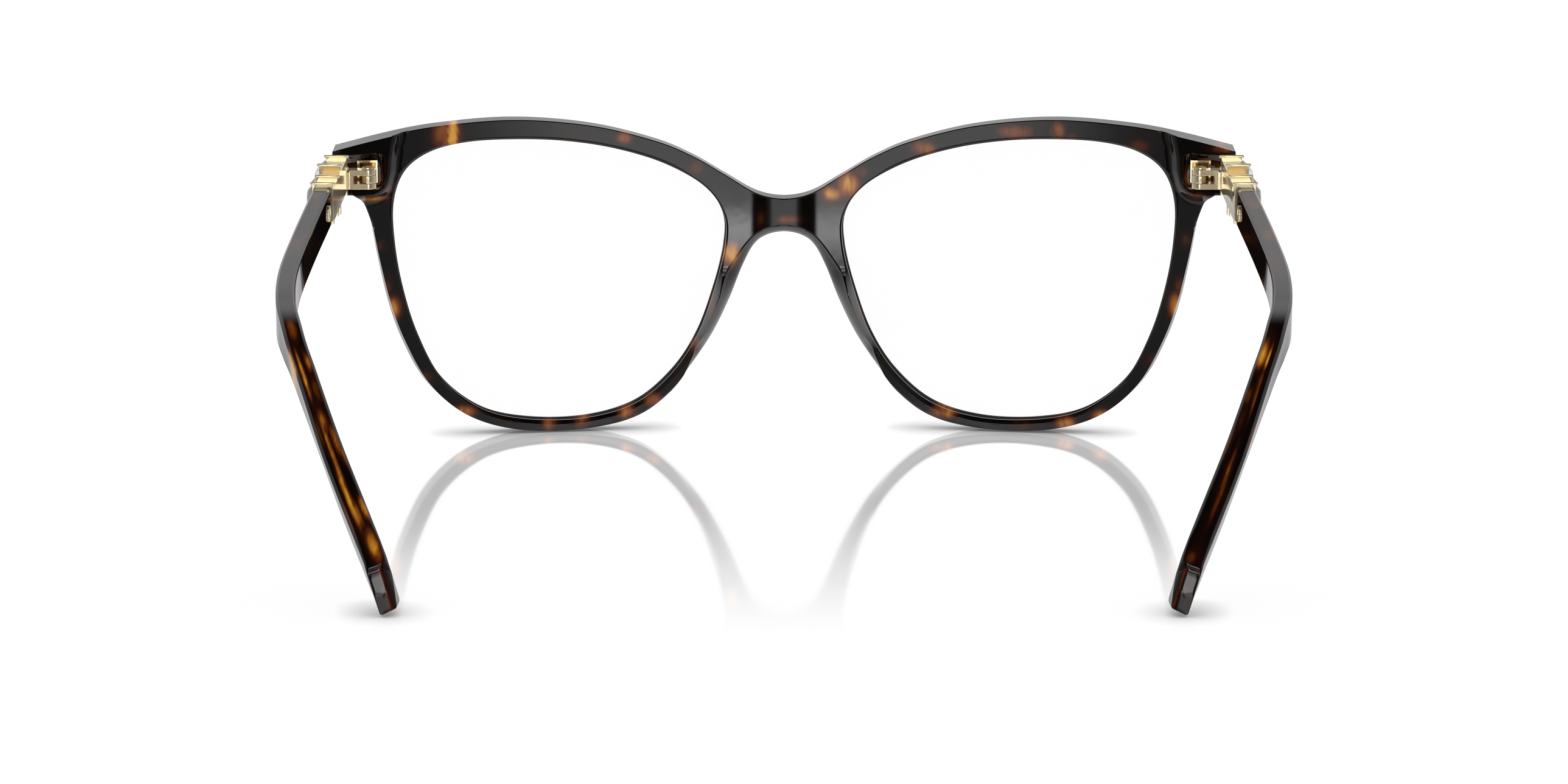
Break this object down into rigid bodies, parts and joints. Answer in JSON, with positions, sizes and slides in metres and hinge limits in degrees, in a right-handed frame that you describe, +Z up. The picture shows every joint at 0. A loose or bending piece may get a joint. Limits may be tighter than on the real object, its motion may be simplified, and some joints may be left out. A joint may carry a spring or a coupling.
{
  "type": "eyeglasses frame",
  "caption": "Full-rim acetate eyeglasses frame with folding temples, gold temple roots set with clear step-cut stones, and clear demo lenses.",
  "frame": {"origin": "on the floor under the middle of the box of the open frame, which stands on its rims and temple tips", "axes": "+Z up, +Y out through the front, +X to the wearer's right"},
  "size_m": [0.147, 0.1396, 0.0497],
  "materials": {
    "acetate": "polished dark tortoise acetate",
    "gold": "polished champagne gold",
    "lens": "clear, coated",
    "crystal": "cut and polished",
    "core": "drawn wire"
  },
  "bodies": {
    "front": {"front_frame": "acetate", "nose_pad_left": "acetate", "nose_pad_right": "acetate", "lens_left": "lens", "lens_right": "lens", "hinge_plate_left": "gold", "hinge_plate_right": "gold"},
    "temple_left": {"hinge_fork_left": "gold", "hinge_screw_left": "gold", "setting_left": "gold", "crystal_front_left": "crystal", "crystal_middle_left": "crystal", "crystal_rear_left": "crystal", "temple_arm_left": "acetate", "core_wire_left": "core", "rivet_left": "gold"},
    "temple_right": {"hinge_fork_right": "gold", "hinge_screw_right": "gold", "setting_right": "gold", "crystal_front_right": "crystal", "crystal_middle_right": "crystal", "crystal_rear_right": "crystal", "temple_arm_right": "acetate", "core_wire_right": "core", "rivet_right": "gold"}
  },
  "joints": [
    {"name": "temple_left_fold", "type": "hinge", "parent": "front", "child": "temple_left", "pos_m": [-0.06437, 0.0546, 0.0415], "axis": [0, 0, 1], "range_deg": [0, 84]},
    {"name": "temple_right_fold", "type": "hinge", "parent": "front", "child": "temple_right", "pos_m": [0.06437, 0.0546, 0.0415], "axis": [0, 0, -1], "range_deg": [0, 75]}
  ]
}
